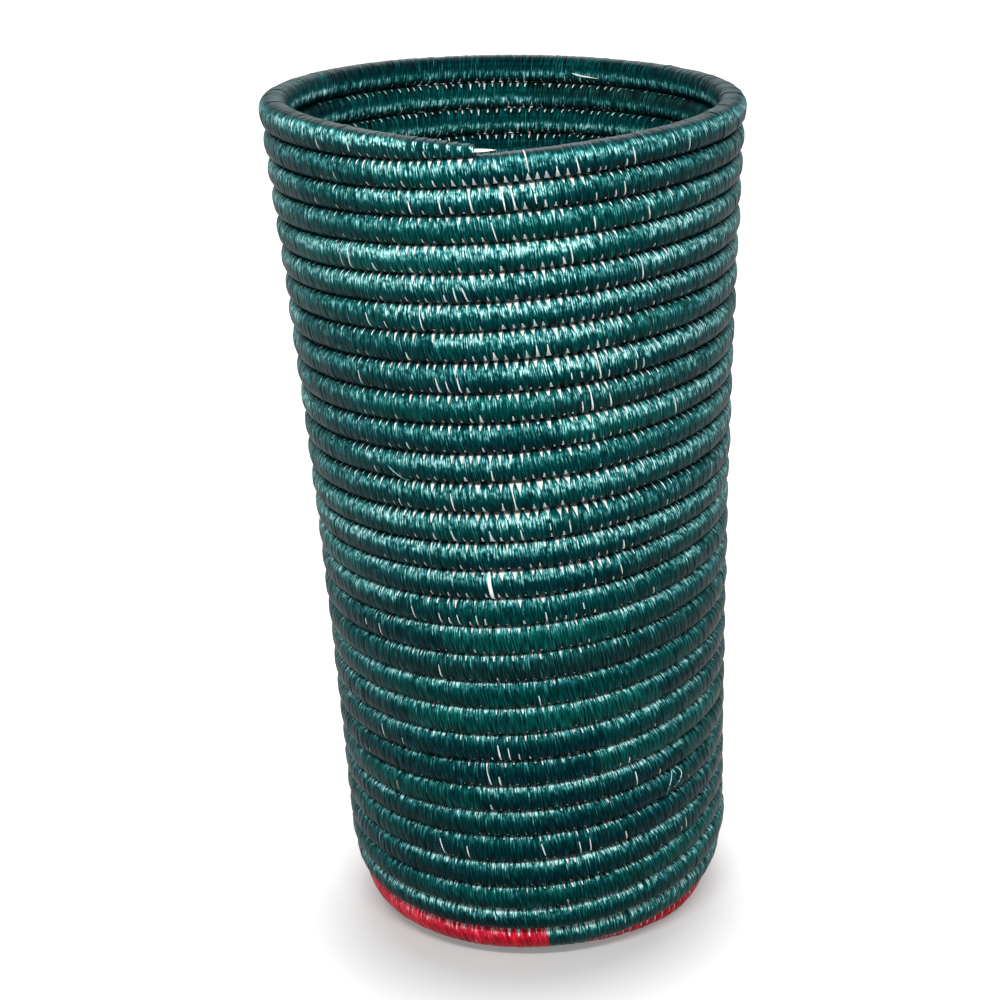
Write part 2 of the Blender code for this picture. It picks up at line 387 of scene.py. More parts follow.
def row_sizes(turn):
    """(middle, reach to the row before, reach to the next row, reach across) of the section."""
    along = row_line(turn)
    low = np.maximum((along + row_line(turn - 1)) / 2, START_HOLE)
    high = (along + row_line(turn + 1)) / 2
    thinned = ramp(turn, TAIL_START, TAIL_TURNS) ** THINS_LATE
    high = high - ROW_PITCH * (1 - TIP_SHARE) * thinned
    middle = np.clip(along, low, (low + high) / 2)
    across = COIL_WIDTH / 2 * np.sqrt((high - low) / ROW_PITCH)
    return middle, middle - low, high - middle, across


print(f"the coil makes {TIP - START:.1f} turns, of which {-START:.1f} are in base and foot")

# %% From a row to a place in the world
SQUARENESS = 2.6
LEAST_REACH = 1e-9


def place(turn, p, q):
    """World points at p along the profile and q out of the basket from a row's middle."""
    middle = row_sizes(turn)[0]
    radius, height, tilt = (np.interp(middle, walk, table) for table in (radii, heights, tilts))
    radius = radius + p * np.cos(tilt) + q * np.sin(tilt)
    height = height + p * np.sin(tilt) - q * np.cos(tilt)
    around = around_basket(turn)
    x, y, z = radius * np.sin(around), -radius * np.cos(around), np.maximum(height, 0.0)
    share = np.maximum(z - COIL_WIDTH, 0) / (rim_height - COIL_WIDTH)
    return np.stack((x, y, z - share * math.tan(RIM_SLOPE) * x), axis=-1)


def section_reach(turn, angle):
    """How far the coil's surface is from its middle in a direction across it. Angle 0 points
    to the next row, and a quarter turn points out of the basket. The shape lies between an
    ellipse and a box with round corners, because the rows press on each other."""
    _, low, high, across = row_sizes(turn)
    along = np.maximum(np.where(np.cos(angle) > 0, high, low), LEAST_REACH)
    upright, level = np.abs(np.cos(angle) / along), np.abs(np.sin(angle) / across)
    return (upright**SQUARENESS + level**SQUARENESS) ** (-1 / SQUARENESS)


print("turn 14 lies in front at", place(14.0, 0.0, 0.0).round(4))

# %% [markdown]
# ## How far apart the wraps are
#
# Wraps are spaced by the length of coil that they cover, not by its angle, so there are fewer
# of them near the middle of the base. A table of the coil's own length against the turn lets
# numpy go from one to the other.

# %% The coil's own length
WRAP_WIDTH = 0.0031
TABLE_STEPS = 8001

turn_table = np.linspace(START, TIP, TABLE_STEPS)
coil_radius = np.interp(row_sizes(turn_table)[0], walk, radii)
pieces_of_coil = 2 * np.pi * (coil_radius[1:] + coil_radius[:-1]) / 2 * np.diff(turn_table)
length_table = np.concatenate([[0.0], np.cumsum(pieces_of_coil)])
print(f"the coil is {length_table[-1]:.1f} m long and has about "
      f"{length_table[-1] / WRAP_WIDTH:.0f} wraps")

# %% The lengths that the coil is made in
LENGTH_TURNS = 23 / 24
BASE_LENGTHS = 6
WALL_LENGTHS = 29

base_ends = np.linspace(START, -LENGTH_TURNS, BASE_LENGTHS + 1)
wall_ends = np.linspace(0, TAIL_START - LENGTH_TURNS, WALL_LENGTHS + 1)
lengths = [(f"base_coil_{n + 1}", *ends) for n, ends in enumerate(zip(base_ends, base_ends[1:]))]
lengths.append(("foot_coil_red", -LENGTH_TURNS, 0.0))
lengths += [
    (f"wall_coil_{n + 1:02}", *ends) for n, ends in enumerate(zip(wall_ends, wall_ends[1:]))
]
lengths.append(("rim_coil", TAIL_START - LENGTH_TURNS, TAIL_START))
lengths.append(("rim_tail", TAIL_START, TIP))

coil_spots, wrap_counts = [], []
for _, *ends in lengths:
    first_spot, last_spot = np.interp(ends, turn_table, length_table)
    wrap_counts.append(round((last_spot - first_spot) / WRAP_WIDTH))
    coil_spots.append(np.linspace(first_spot, last_spot, wrap_counts[-1], endpoint=False))
first_wraps = np.concatenate([[0], np.cumsum(wrap_counts)])
border_spots = np.concatenate([*coil_spots, length_table[-1:]])
border_turns = np.interp(border_spots, length_table, turn_table)
print(len(lengths), "lengths of coil, with", first_wraps[-1], "wraps in all")

# %% [markdown]
# ## What makes each wrap different
#
# Where a wrap dives between two rows it is pulled into a thin cord, and the bare foundation
# shows beside it as a small pale tooth. The teeth differ: tight wraps hide them and loose ones
# leave a sliver open right across the row. So each border between two wraps gets its own
# random sizes. Teeth come in stretches, because a maker pulls one strand as tightly as the
# next until they rest. They are widest at the front of the upper rows and below the thinned
# end, and the rim has none on top, where no row was stitched to it. One strand of raffia lasts
# for many wraps, and no two took the dye alike, so the tone changes by strand and not by wrap.
#
# Each border has four corners where teeth can be, in this order: outside at the next row,
# outside at the row below, inside at the next row and inside at the row below. Widths are
# measured along the coil, as shares of a wrap, and lengths are measured round it, as angles.

# %% How slack the wraps are
UPPER_ROWS = (11, 4)
SIDE_SHARE = 0.14
LOWER_SHARE = 0.62
INNER_FRONT, INNER_BACK = 0.15, 0.5
FRONT_NARROWNESS = 4
SLACK_STRETCH = (9, 0.6, 1.15)

chance = np.random.default_rng(seed=7)
borders = border_turns.size


def in_stretches(wraps, low, high):
    """A random number for each border that changes slowly, once in so many wraps."""
    knots = chance.uniform(low, high, borders // wraps + 2)
    return np.interp(np.arange(borders) / wraps, np.arange(knots.size), knots)


facing = np.cos(around_basket(border_turns))
upper = ramp(border_turns, *UPPER_ROWS)
in_front = SIDE_SHARE + (1 - SIDE_SHARE) * np.clip(facing, 0, 1) ** FRONT_NARROWNESS
outer = in_front * (LOWER_SHARE + (1 - LOWER_SHARE) * upper)
behind = np.clip(-facing, 0, 1) ** FRONT_NARROWNESS
inner = INNER_FRONT + (INNER_BACK - INNER_FRONT) * behind
stitched = border_turns < TIP - 1
by_corner = np.stack([outer * stitched, outer, inner * stitched, inner])
slackness = in_stretches(*SLACK_STRETCH) * by_corner
print(f"a wrap's slackness goes up to {slackness.max():.2f}")

# %% Teeth
BORDER_SHIFT = 0.09
BORDER_SKEW = 0.07
TOOTH_WIDTHS = (0.65, 1.1)
TOOTH_LENGTHS = (42, 64)
LENGTH_BELOW, MORE_ABOVE = 0.85, 0.15
PULLED_SHUT = [0.1, 0.7, 1.0]
HOW_OFTEN = [0.18, 0.32, 0.5]
BELOW_TAIL_TURNS = 1.08
BELOW_TAIL_FACING = (0.955, 0.02)
BELOW_TAIL_WIDTH = 0.95
BELOW_TAIL_LENGTH = np.radians(78)
LONGER_BELOW = np.radians(13)

border_shift = chance.normal(0, BORDER_SHIFT, borders)
border_skew = chance.normal(0, BORDER_SKEW, borders)
tooth_width = chance.uniform(*TOOTH_WIDTHS, (4, borders)) * slackness
tooth_length = np.radians(chance.uniform(*TOOTH_LENGTHS, (4, borders)))
tooth_length = tooth_length * (LENGTH_BELOW + MORE_ABOVE * upper)
tooth_length[1::2] += LONGER_BELOW
tooth_width[1::2] *= chance.choice(PULLED_SHUT, (2, borders), p=HOW_OFTEN)
below_tail = (border_turns > TIP - BELOW_TAIL_TURNS) * ramp(facing, *BELOW_TAIL_FACING)
tooth_width[1] = np.maximum(tooth_width[1], BELOW_TAIL_WIDTH * below_tail)
tooth_length[1] = np.maximum(tooth_length[1], BELOW_TAIL_LENGTH * below_tail)
print("teeth wider than half a wrap:", int((tooth_width > 0.5).sum()))

# %% Slivers, uneven wraps and strands
SLIVER_STRETCH = (6, -0.5, 0.8)
SLIVER_WIDTHS = (0.055, 0.18)
SLIVER_MIDDLES = (85, 160)
SLIVER_SPANS = (35, 80)
WRAP_TILT = 0.00007
WRAP_RISE = 0.00005
WRAPS_PER_STRAND = (4, 30)

slivers = chance.random(borders) < in_stretches(*SLIVER_STRETCH) * outer
sliver_width = np.where(slivers, chance.uniform(*SLIVER_WIDTHS, borders), 0.0)
sliver_middle = np.radians(chance.uniform(*SLIVER_MIDDLES, borders))
sliver_span = np.radians(chance.uniform(*SLIVER_SPANS, borders))
wrap_tilt = chance.normal(0, WRAP_TILT, borders)
wrap_rise = chance.normal(0, WRAP_RISE, borders)
wrap_light = chance.uniform(0, 1, borders)

strand_lengths = chance.integers(*WRAPS_PER_STRAND, borders // 6)
strand_of_wrap = np.repeat(np.arange(strand_lengths.size), strand_lengths)[:borders]
strand_tone = chance.uniform(0, 1, strand_lengths.size)[strand_of_wrap]
print(strand_of_wrap[-1] + 1, "strands of raffia, and", int(slivers.sum()), "open slivers")

# %% [markdown]
# ## The surface of a length of coil
#
# Each wrap is a flat band that runs once round the coil. Its outline is seven rings of points:
# one at each foot, on the foundation, and five over its back. Rings of neighbouring wraps are
# joined too, and the floor between them is the foundation. Where wraps touch, that floor is
# only a hair's breadth deep, and in a tooth it is as deep as the wrap is thick. This makes one
# closed surface for a whole length, which a stack of loose ribbons wouldn't.

# %% The gap beside a wrap
NARROW_SLIT = 0.03
WIDEST_GAP = 0.72


def gap_between_wraps(border, angle):
    """How wide the bare place at a border is at an angle round the coil, in wraps."""
    from_corner = (angle, np.pi - angle, 2 * np.pi - angle, angle - np.pi)
    beside = np.abs(angle - sliver_middle[border]) / sliver_span[border]
    gap = NARROW_SLIT + sliver_width[border] * np.clip(1 - beside, 0, 1)
    for away, width, length in zip(from_corner, tooth_width, tooth_length):
        tooth = np.clip(1 - away / length[border], 0, 1)
        gap = gap + width[border] * np.where(away >= 0, tooth, 0)
    return np.clip(gap, 0, WIDEST_GAP)


widest = int(tooth_width[1].argmax())
print("at the widest tooth the gap is, in wraps, above, in the middle and below:",
      gap_between_wraps(widest, np.radians([15.0, 90.0, 165.0])).round(2))

# %% The rings of a wrap
OUTSIDE_ANGLES = [0, 8, 17, 27, 37, 48, 60, 73, 87, 101, 114, 127, 139, 150, 160, 170]
RING_ANGLES = np.radians(OUTSIDE_ANGLES + [180] + [360 - a for a in OUTSIDE_ANGLES[:0:-1]])
ACROSS_WRAP = np.array([0.0, 0.05, 0.27, 0.5, 0.73, 0.95, 1.0])
BACK_OF_WRAP = np.array([0.0, -0.3, 0.6, 1.0, 0.6, -0.3, 0.0])
IS_FOOT = np.array([1, 0, 0, 0, 0, 0, 1])
BACK_HEIGHT = 0.00006
WRAP_THICKNESS = 0.00038
WRAP_LEAN = 0.24
SLIT_DEPTH = 0.12
WIDE_SLIT = 0.26
GATHERING = 2


def border_line(border, number, angle):
    """Where a border runs, in wraps from the length's first end. It leans as it goes down."""
    lean = (WRAP_LEAN + border_skew[border]) * -np.cos(angle)
    return number + lean + border_shift[border]


print(len(ACROSS_WRAP), "rings for each wrap, with", RING_ANGLES.size, "points in a ring")


# %% Ring by ring
def wrap_rings(first, last, first_border, count):
    """For each ring: its turns and its reach from the middle. For each border: its gap."""
    numbers = np.arange(count + 1)[:, None]
    border = first_border + numbers
    angle = RING_ANGLES[None, :]
    line = border_line(border, numbers, angle)
    gap = gap_between_wraps(border, angle)
    bareness = np.clip(gap / WIDE_SLIT, 0, 1)
    floor_depth = WRAP_THICKNESS * (SLIT_DEPTH + (1 - SLIT_DEPTH) * bareness)

    left = (line + gap / 2)[:-1, None, :]
    right = (line - gap / 2)[1:, None, :]
    share = ACROSS_WRAP[None, :, None]
    spots = left + (right - left) * share
    gathered = 1 + GATHERING * (1 - (right - left))
    wrap = border[:-1][:, :, None]
    back = BACK_HEIGHT * gathered * BACK_OF_WRAP[None, :, None] + wrap_rise[wrap]
    back = back + wrap_tilt[wrap] * (share - 0.5)
    feet = -np.where(share < 0.5, floor_depth[:-1, None, :], floor_depth[1:, None, :])
    lift = np.where(IS_FOOT[None, :, None] == 1, feet, back)

    spots = np.concatenate([line[:1], spots.reshape(-1, angle.size), line[-1:]])
    lift = np.concatenate([-floor_depth[:1], lift.reshape(-1, angle.size), -floor_depth[-1:]])
    ends = np.interp([first, last], turn_table, length_table)
    coil_place = ends[0] + spots * (ends[1] - ends[0]) / count
    beyond = (coil_place - length_table[-1]) / (2 * np.pi * coil_radius[-1])
    turns = np.interp(coil_place, length_table, turn_table) + np.maximum(beyond, 0)
    return turns, section_reach(turns, angle) + lift, gap


# %% From rings to faces
def ring_faces(rings, around):
    """Four corners for each face between neighbouring rings."""
    ring, k = np.meshgrid(np.arange(rings - 1), np.arange(around), indexing="ij")
    n = (k + 1) % around
    here, there = ring * around, (ring + 1) * around
    return np.stack([here + k, here + n, there + n, there + k], axis=-1).reshape(-1, 4)


def tube_parts(made, grid, across, along):
    """Points, faces, end faces and fibre map of a tube, in a mesh with so many points made. Its
    grid is points ring by ring. The fibre map's two tables are one column wider, in mm."""
    rings, around = grid.shape[:2]
    middle_of_end, last_ring = made + rings * around, made + (rings - 1) * around
    k = np.arange(around)
    n = (k + 1) % around
    ends = [
        np.stack([0 * k + middle_of_end, made + n, made + k], axis=-1),
        np.stack([0 * k + middle_of_end + 1, last_ring + k, last_ring + n], axis=-1),
    ]
    points = [grid.reshape(-1, 3), grid[[0, -1]].mean(axis=1)]
    shape = (rings, around + 1)
    spots = np.stack([np.broadcast_to(table, shape) for table in (across, along)], axis=-1)
    corners = [spots[:-1, :-1], spots[:-1, 1:], spots[1:, 1:], spots[1:, :-1]]
    fibre_map = np.stack(corners, axis=2).ravel()
    faces = made + ring_faces(rings, around)
    return np.concatenate(points), faces, np.concatenate(ends), fibre_map


# %% From faces to a mesh
def closed_tubes(name, tubes, material):
    """One mesh of one or more tubes with closed ends, each a (grid, across, along)."""
    parts, made = [], 0
    for tube in tubes:
        parts.append(tube_parts(made, *tube))
        made += len(parts[-1][0])
    points, quads, fans, fibre_map = (np.concatenate(part) for part in zip(*parts))
    corners = np.concatenate([quads.ravel(), fans.ravel()]).astype(np.int32)
    sizes = np.repeat([4, 3], [len(quads), len(fans)])
    mesh = bpy.data.meshes.new(name)
    mesh.vertices.add(len(points))
    mesh.vertices.foreach_set("co", points.astype(np.float32).ravel())
    mesh.loops.add(corners.size)
    mesh.loops.foreach_set("vertex_index", corners)
    mesh.polygons.add(sizes.size)
    mesh.polygons.foreach_set("loop_start", (np.cumsum(sizes) - sizes).astype(np.int32))
    mesh.update(calc_edges=True)
    fibre_map = np.concatenate([fibre_map, np.zeros(fans.size * 2)]).astype(np.float32)
    mesh.uv_layers.new(name="along_fibres").data.foreach_set("uv", fibre_map)
    mesh.materials.append(material)
    mesh.shade_smooth()
    return mesh


def give_values(mesh, label, values):
    """A number for each point, which a material can read by its label."""
    layer = mesh.attributes.new(label, "FLOAT", "POINT")
    layer.data.foreach_set("value", values.astype(np.float32))


# %% [markdown]
# ## Where a highlight is painted on the coil
#
# The pale band along each row is a painted highlight: the fibres' colour is made paler where the
# lamps give the rows their sheen. Low on the wall the band lies near a row's upper border, and
# higher up it lies nearer the row's middle. A strong gloss would give a band too, but it would
# also lay a grey veil over the dark strands. So the amount of painted highlight is worked out
# here for every point, and the material reads it by name.

# %% How much painted highlight a spot gets
# Where the painted highlight lies round a row, how far it reaches above and below, and how strong
# it is in front, inside and at the sides.
SHOULDER_LOW = math.radians(26)
SHOULDER_RISE = math.radians(28)
SHOULDER_RISES = (11, 5)
SHOULDER_ABOVE = math.radians(19)
SHOULDER_BELOW = math.radians(32)
INNER_BELLY = math.radians(104)
MOST_PAINTED_SHEEN = 1.05
PAINTED_SHEEN_INSIDE = 0.9
PAINTED_SHEEN_AT_SIDES = 0.70


def painted_sheen_band(turns, angle):
    """A painted highlight: most on the shoulder of a row in front, and less away from it, at the
    sides and inside. Inside it lies on the belly of a row."""
    is_inside = angle > np.pi
    shoulder = SHOULDER_LOW + SHOULDER_RISE * ramp(turns, *SHOULDER_RISES)
    off_shoulder = np.where(is_inside, 2 * np.pi - angle - INNER_BELLY, angle - shoulder)
    is_above = is_inside | (off_shoulder < 0)
    width = np.where(is_above, SHOULDER_ABOVE, SHOULDER_BELOW)
    front = np.clip(np.cos(around_basket(turns)), 0, 1)
    outside = PAINTED_SHEEN_AT_SIDES + (1 - PAINTED_SHEEN_AT_SIDES) * front
    most = MOST_PAINTED_SHEEN * np.where(is_inside, PAINTED_SHEEN_INSIDE, outside)
    return most * np.exp(-((off_shoulder / width) ** 2))


# The painted highlight of a row in front at three angles.
print("a row in front is rubbed at 20, 54 and 90 degrees by",
      painted_sheen_band(20.0, np.radians([20.0, 54.0, 90.0])).round(2))

# %% A whole length
BARE_FROM = 2.6 * NARROW_SLIT


def wrapped_length(name, first, last, first_border, count, raffia, foundation):
    """One length of coil as a closed mesh. Wide floors between wraps show the foundation."""
    turns, reach, gap = wrap_rings(first, last, first_border, count)
    rings, around = reach.shape
    wrap = np.clip((np.arange(rings) - 1) // len(ACROSS_WRAP), 0, count - 1)
    share = np.concatenate([[0], np.tile(ACROSS_WRAP, count), [1]])
    across = (wrap + share + first_border)[:, None] * MM * WRAP_WIDTH
    along = np.append(RING_ANGLES, 2 * np.pi)[None, :] * MM * COIL_WIDTH / 2
    points = place(turns, reach * np.cos(RING_ANGLES), reach * np.sin(RING_ANGLES))
    mesh = closed_tubes(name, [(points, across, along)], raffia)
    mesh.materials.append(foundation)

    ring = np.arange(rings - 1)
    is_floor = ring % len(ACROSS_WRAP) == 0
    border = np.minimum((ring + 3) // len(ACROSS_WRAP), count)
    is_wide = (gap + np.roll(gap, -1, axis=1))[border] / 2 > BARE_FROM
    bare = is_floor[:, None] & is_wide
    slots = np.concatenate([bare.ravel(), np.zeros(2 * around)])
    mesh.polygons.foreach_set("material_index", slots.astype(np.int32))

    for label, values in (("tone", strand_tone), ("light", wrap_light)):
        by_ring = values[wrap + first_border]
        give_values(mesh, label, np.append(np.repeat(by_ring, around), [0.5, 0.5]))
    # The painted highlight, for every point.
    give_values(mesh, "painted_sheen", np.append(painted_sheen_band(turns, RING_ANGLES[None, :]), [0, 0]))
    return mesh


# %% [markdown]
# ## Dyed raffia
#
# Raffia is a flat leaf strip with fine fibres along it. It takes dye unevenly and has a faint
# silky gloss that is tinted like the strand, and most of its sheen is a painted highlight in the
# colour. An image could show this, but nodes stay sharp at any distance. The mesh carries a map
# in millimetres, along and across the fibres, so noise that is stretched along the fibres can
# give colour, painted highlight, gloss and relief.
# Fine fibres spread a reflection sideways more than lengthways, and the shader's anisotropy
# does the same.

# %% Noise along the fibres
# Features per millimetre across and along the fibres, and how much finer detail there is.
STREAKS = (2.3, 0.13, 2.0)
RIPPLES = (2.7, 0.22, 1.5)
PATCHES = (0.6, 0.5, 2.0)


def fibre_noise(tree, fibre_map, across, along, detail):
    """Noise with a size across and along the fibres."""
    stretch = add_node(tree, "Mapping", vector_type="POINT")
    stretch.inputs["Scale"].default_value = (across, along, 1)
    tree.links.new(fibre_map, stretch.inputs["Vector"])
    noise = add_node(tree, "TexNoise", Scale=1.0, Detail=detail, Roughness=0.6)
    tree.links.new(stretch.outputs[0], noise.inputs["Vector"])
    return noise.outputs[0]


def set_stops(ramp_node, stops):
    """Give a colour ramp its (place, colour) pairs."""
    elements = ramp_node.color_ramp.elements
    while len(elements) < len(stops):
        elements.new(0.5)
    for element, (start, colour) in zip(elements, stops):
        element.position = start
        element.color = (*colour, 1)


print("a streak is about", round(1 / STREAKS[1], 1), "mm long and", round(1 / STREAKS[0], 1),
      "mm wide")

# %% The dye's colour
DYE_STREAKS = (0.42, 0.66)
WRAP_GAIN, DARKEST_WRAP = 0.5, 0.75


def dyed_colour(tree, tones, dye_range, streaks):
    """A colour for each strand, which its fibres and wraps take up more or less."""
    tone = add_node(tree, "Attribute", attribute_name="tone")
    strands = add_node(tree, "ValToRGB")
    strands.color_ramp.interpolation = "CONSTANT"
    set_stops(strands, tones)
    tree.links.new(tone.outputs["Fac"], strands.inputs[0])
    light = add_node(tree, "Attribute", attribute_name="light").outputs["Fac"]
    by_wrap = math_node(tree, "MULTIPLY_ADD", light, WRAP_GAIN, DARKEST_WRAP)
    by_fibre = remap(tree, streaks, *DYE_STREAKS, *dye_range)
    dyed = add_node(tree, "VectorMath", operation="SCALE")
    tree.links.new(strands.outputs[0], dyed.inputs[0])
    tree.links.new(math_node(tree, "MULTIPLY", by_fibre, by_wrap), dyed.inputs["Scale"])
    return dyed.outputs[0]


# %% The painted highlight and the stray fibres
# Each line is the range of a noise or a random number, and then the paleness that it gives.
SHEEN_BY_PATCH = (0.35, 0.65, 0.45, 1.35)
SHEEN_BY_STRAND = (0, 1, 0.65, 1.4)
SHEEN_AND_STRAY_BY_FIBRE = (0.36, 0.68, 0.08, 1.0)
STRAY_FIBRES = (0.52, 0.70, 0, 0.55)
STRAND_SHUFFLE = 9.0


def sheen_and_fibre_share(tree, streaks, ripples, patches):
    """0 for a fibre with all its dye and 1 for the palest. The painted highlight and pale stray
    fibres.
    """
    sheen_and_fibres = add_node(tree, "Attribute", attribute_name="painted_sheen").outputs["Fac"]
    sheen_and_fibres = math_node(tree, "MULTIPLY", sheen_and_fibres, remap(tree, patches, *SHEEN_BY_PATCH))
    tone = add_node(tree, "Attribute", attribute_name="tone").outputs["Fac"]
    by_strand = math_node(tree, "FRACT", math_node(tree, "MULTIPLY", tone, STRAND_SHUFFLE))
    sheen_and_fibres = math_node(tree, "MULTIPLY", sheen_and_fibres, remap(tree, by_strand, *SHEEN_BY_STRAND))
    fibres = remap(tree, ripples, *SHEEN_AND_STRAY_BY_FIBRE)
    stray = math_node(tree, "MULTIPLY", remap(tree, streaks, *STRAY_FIBRES), fibres)
    return math_node(tree, "MULTIPLY_ADD", sheen_and_fibres, fibres, stray, clamp=True)


# %% The raffia material
# How strongly the painted highlight and the stray fibres turn the dye pale.
PALE_BY_SHEEN_AND_FIBRES = 1.4
ROUGHNESS = (0.34, 0.66, 0.46, 0.28)
RELIEF_HEIGHT = 0.0002
STREAK_RELIEF = 0.6
SPREAD_ACROSS_FIBRES = 0.5


def raffia_material(name, tones, dye_range, painted_sheen, shine, tint):
    """Tones are (place, colour) pairs: which part of the strands has which colour, and the dye
    range says how much darker and lighter than that single fibres are. The second ramp gives the
    paler colours of the painted highlight and the stray fibres in the same way as tones, from a
    little pale to the palest."""
    material = bpy.data.materials.new(name)
    material.use_nodes = True
    tree = material.node_tree
    link = tree.links.new
    shader = tree.nodes["Principled BSDF"]
    fibre_map = add_node(tree, "UVMap", uv_map="along_fibres").outputs[0]
    streaks, ripples, patches = (
        fibre_noise(tree, fibre_map, *sizes) for sizes in (STREAKS, RIPPLES, PATCHES)
    )
    sheen_and_fibres = sheen_and_fibre_share(tree, streaks, ripples, patches)
    pale = add_node(tree, "ValToRGB")
    set_stops(pale, painted_sheen)
    link(sheen_and_fibres, pale.inputs[0])
    mixed = add_node(tree, "Mix", data_type="RGBA")
    link(math_node(tree, "MULTIPLY", sheen_and_fibres, PALE_BY_SHEEN_AND_FIBRES, clamp=True), mixed.inputs["Factor"])
    link(dyed_colour(tree, tones, dye_range, streaks), mixed.inputs["A"])
    link(pale.outputs[0], mixed.inputs["B"])
    link(mixed.outputs["Result"], shader.inputs["Base Color"])

    link(remap(tree, streaks, *ROUGHNESS), shader.inputs["Roughness"])
    bump = add_node(tree, "Bump", Strength=1.0, Distance=RELIEF_HEIGHT)
    link(math_node(tree, "MULTIPLY_ADD", streaks, STREAK_RELIEF, ripples), bump.inputs["Height"])
    link(bump.outputs[0], shader.inputs["Normal"])
    shader.inputs["Specular IOR Level"].default_value = shine
    shader.inputs["Specular Tint"].default_value = (*tint, 1)
    shader.inputs["Anisotropic"].default_value = SPREAD_ACROSS_FIBRES
    tangent = add_node(tree, "Tangent", direction_type="RADIAL", axis="Z")
    link(tangent.outputs[0], shader.inputs["Tangent"])
    print(name, "has", len(tree.nodes), "nodes and", len(tones), "tones")
    return material


# %% Green and red raffia
# The second colour ramp of each raffia is a painted highlight: whitish cyan on the green and pale
# pink on the red.
green_raffia = raffia_material(
    "green_raffia",
    (
        (0.0, (0.0001, 0.011, 0.0125)),
        (0.25, (0.0001, 0.018, 0.0185)),
        (0.47, (0.0002, 0.008, 0.0115)),
        (0.68, (0.0002, 0.023, 0.020)),
        (0.82, (0.003, 0.013, 0.012)),
        (0.92, (0.001, 0.036, 0.030)),
    ),
    dye_range=(0.15, 2.8),
    painted_sheen=((0.25, (0.005, 0.13, 0.135)), (0.6, (0.09, 0.42, 0.42)), (1.0, (0.62, 0.93, 0.91))),
    shine=0.06,
    tint=(0.05, 1.0, 1.0),
)
red_raffia = raffia_material(
    "red_raffia",
    (
        (0.0, (0.66, 0.006, 0.022)),
        (0.4, (0.78, 0.009, 0.028)),
        (0.7, (0.58, 0.005, 0.026)),
        (0.9, (0.84, 0.016, 0.036)),
    ),
    dye_range=(0.5, 1.5),
    painted_sheen=((0.25, (0.75, 0.02, 0.06)), (0.6, (0.88, 0.10, 0.14)), (1.0, (0.95, 0.48, 0.50))),
    shine=0.08,
    tint=(1.0, 0.4, 0.45),
)

# %% [markdown]
# ## The foundation's fibre
#
# The foundation is undyed stalk, pale cream and matt. It only ever shows in spots a millimetre
# or two wide, so its grain would be too fine to see. A soft mottle in the object's own space
# makes one tooth a little darker than the next, and that is enough. It needs no map of its own,
# and the fibre map on the teeth belongs to the raffia.

# %% The foundation material
MOTTLE_PER_METRE = 200.0
DRY_ROUGHNESS = 0.7

foundation = bpy.data.materials.new("pale_fibre")
foundation.use_nodes = True
tree = foundation.node_tree
shader = tree.nodes["Principled BSDF"]
spot = add_node(tree, "TexCoord")
mottle = add_node(tree, "TexNoise", Scale=MOTTLE_PER_METRE, Detail=2.0)
tree.links.new(spot.outputs["Object"], mottle.inputs["Vector"])
creams = add_node(tree, "ValToRGB")
set_stops(creams, ((0.28, (0.70, 0.72, 0.62)), (0.5, (0.90, 0.95, 0.92))))
tree.links.new(mottle.outputs[0], creams.inputs[0])
tree.links.new(creams.outputs[0], shader.inputs["Base Color"])
shader.inputs["Roughness"].default_value = DRY_ROUGHNESS
print("the foundation's mottle is about", MM / MOTTLE_PER_METRE, "mm wide")

# %% [markdown]
# ## Wrapping every length
#
# The red coil at the foot and the green ones differ only in their raffia, so one loop makes
# all the lengths. Each dressed length takes the place of its plain solid, which stays in the
# simulation. It could have been one long piece, but a piece for each length keeps the solid
# model's names, so one length can be recoloured or looked at alone.


# %% Wrap every length
def add_piece(name, mesh, *nodes, slot):
    """A piece of the basket that stands for nodes of the solid model."""
    made = bpy.data.objects.new(name, mesh)
    bpy.context.scene.collection.objects.link(made)
    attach(made, "root")
    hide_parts(*nodes)


face_count = 0
for (name, first, last), first_border, count in zip(lengths, first_wraps, wrap_counts):
    colour = "red_raffia" if name == "foot_coil_red" else "green_raffia"
    raffia = red_raffia if colour == "red_raffia" else green_raffia
    mesh = wrapped_length(
        name + "_wraps", first, last, int(first_border), count, raffia, foundation
    )
    add_piece(name + "_wraps", mesh, name, slot=colour)
    face_count += len(mesh.polygons)
print(face_count, "faces on", len(lengths), "wrapped lengths")

# %% [markdown]
# ## Strands that leave the coil
#
# Some strands don't lie in the coil's surface: the stitches that hold the thinned end down, ends
# of raffia that were left long, and threads that came away. A hair system could make them, but
# there are few and each has its own place. So each is swept along a smooth line that is given,
# like every point here, by a turn, an angle round the coil and a height over its surface. That
# way a strand always lies on its row. It thins towards its ends, because an end is torn off
# and not cut.

# %% A tube along a smooth line
TUBE_SIDES = 10


def smooth_line(stops, steps):
    """A curve through all the stops, one row of numbers for each, in even steps."""
    stops = np.asarray(stops, float)
    spots = np.linspace(0, len(stops) - 1, steps)
    first = np.minimum(spots.astype(int), len(stops) - 2)
    t = (spots - first)[:, None]
    padded = np.concatenate([2 * stops[:1] - stops[1:2], stops, 2 * stops[-1:] - stops[-2:-1]])
    a, b, c, d = (padded[first + n] for n in range(4))
    return 0.5 * (
        2 * b + (c - a) * t + (2 * a - 5 * b + 4 * c - d) * t**2 + (3 * (b - c) + d - a) * t**3
    )


